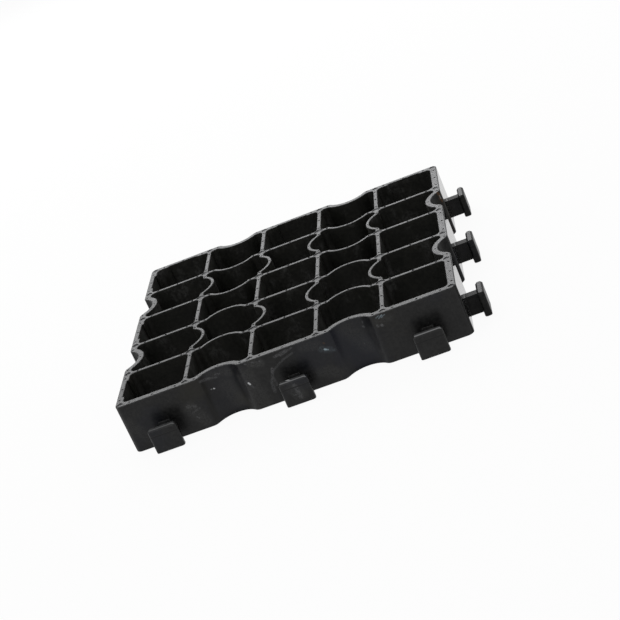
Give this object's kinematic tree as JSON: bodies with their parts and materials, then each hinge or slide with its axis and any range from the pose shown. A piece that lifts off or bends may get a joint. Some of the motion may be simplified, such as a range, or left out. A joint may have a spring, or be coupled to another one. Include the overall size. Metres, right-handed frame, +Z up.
{
  "type": "grass paver grid",
  "caption": "Square black plastic ground grid with straight and waved upright walls around open cells, and T-hooks on two sides that drop into slots of the next paver.",
  "frame": {"origin": "middle of the frame on the plane of the underside, the hooks left out of account", "axes": "+X to the right side with hooks, -Y to the front side with hooks, +Z up"},
  "size_m": [0.3525, 0.3525, 0.05],
  "materials": {
    "recycled_plastic": "moulded black recycled plastic, satin, lightly scuffed"
  },
  "bodies": {
    "root": {"paver_grid": "recycled_plastic"}
  },
  "joints": []
}
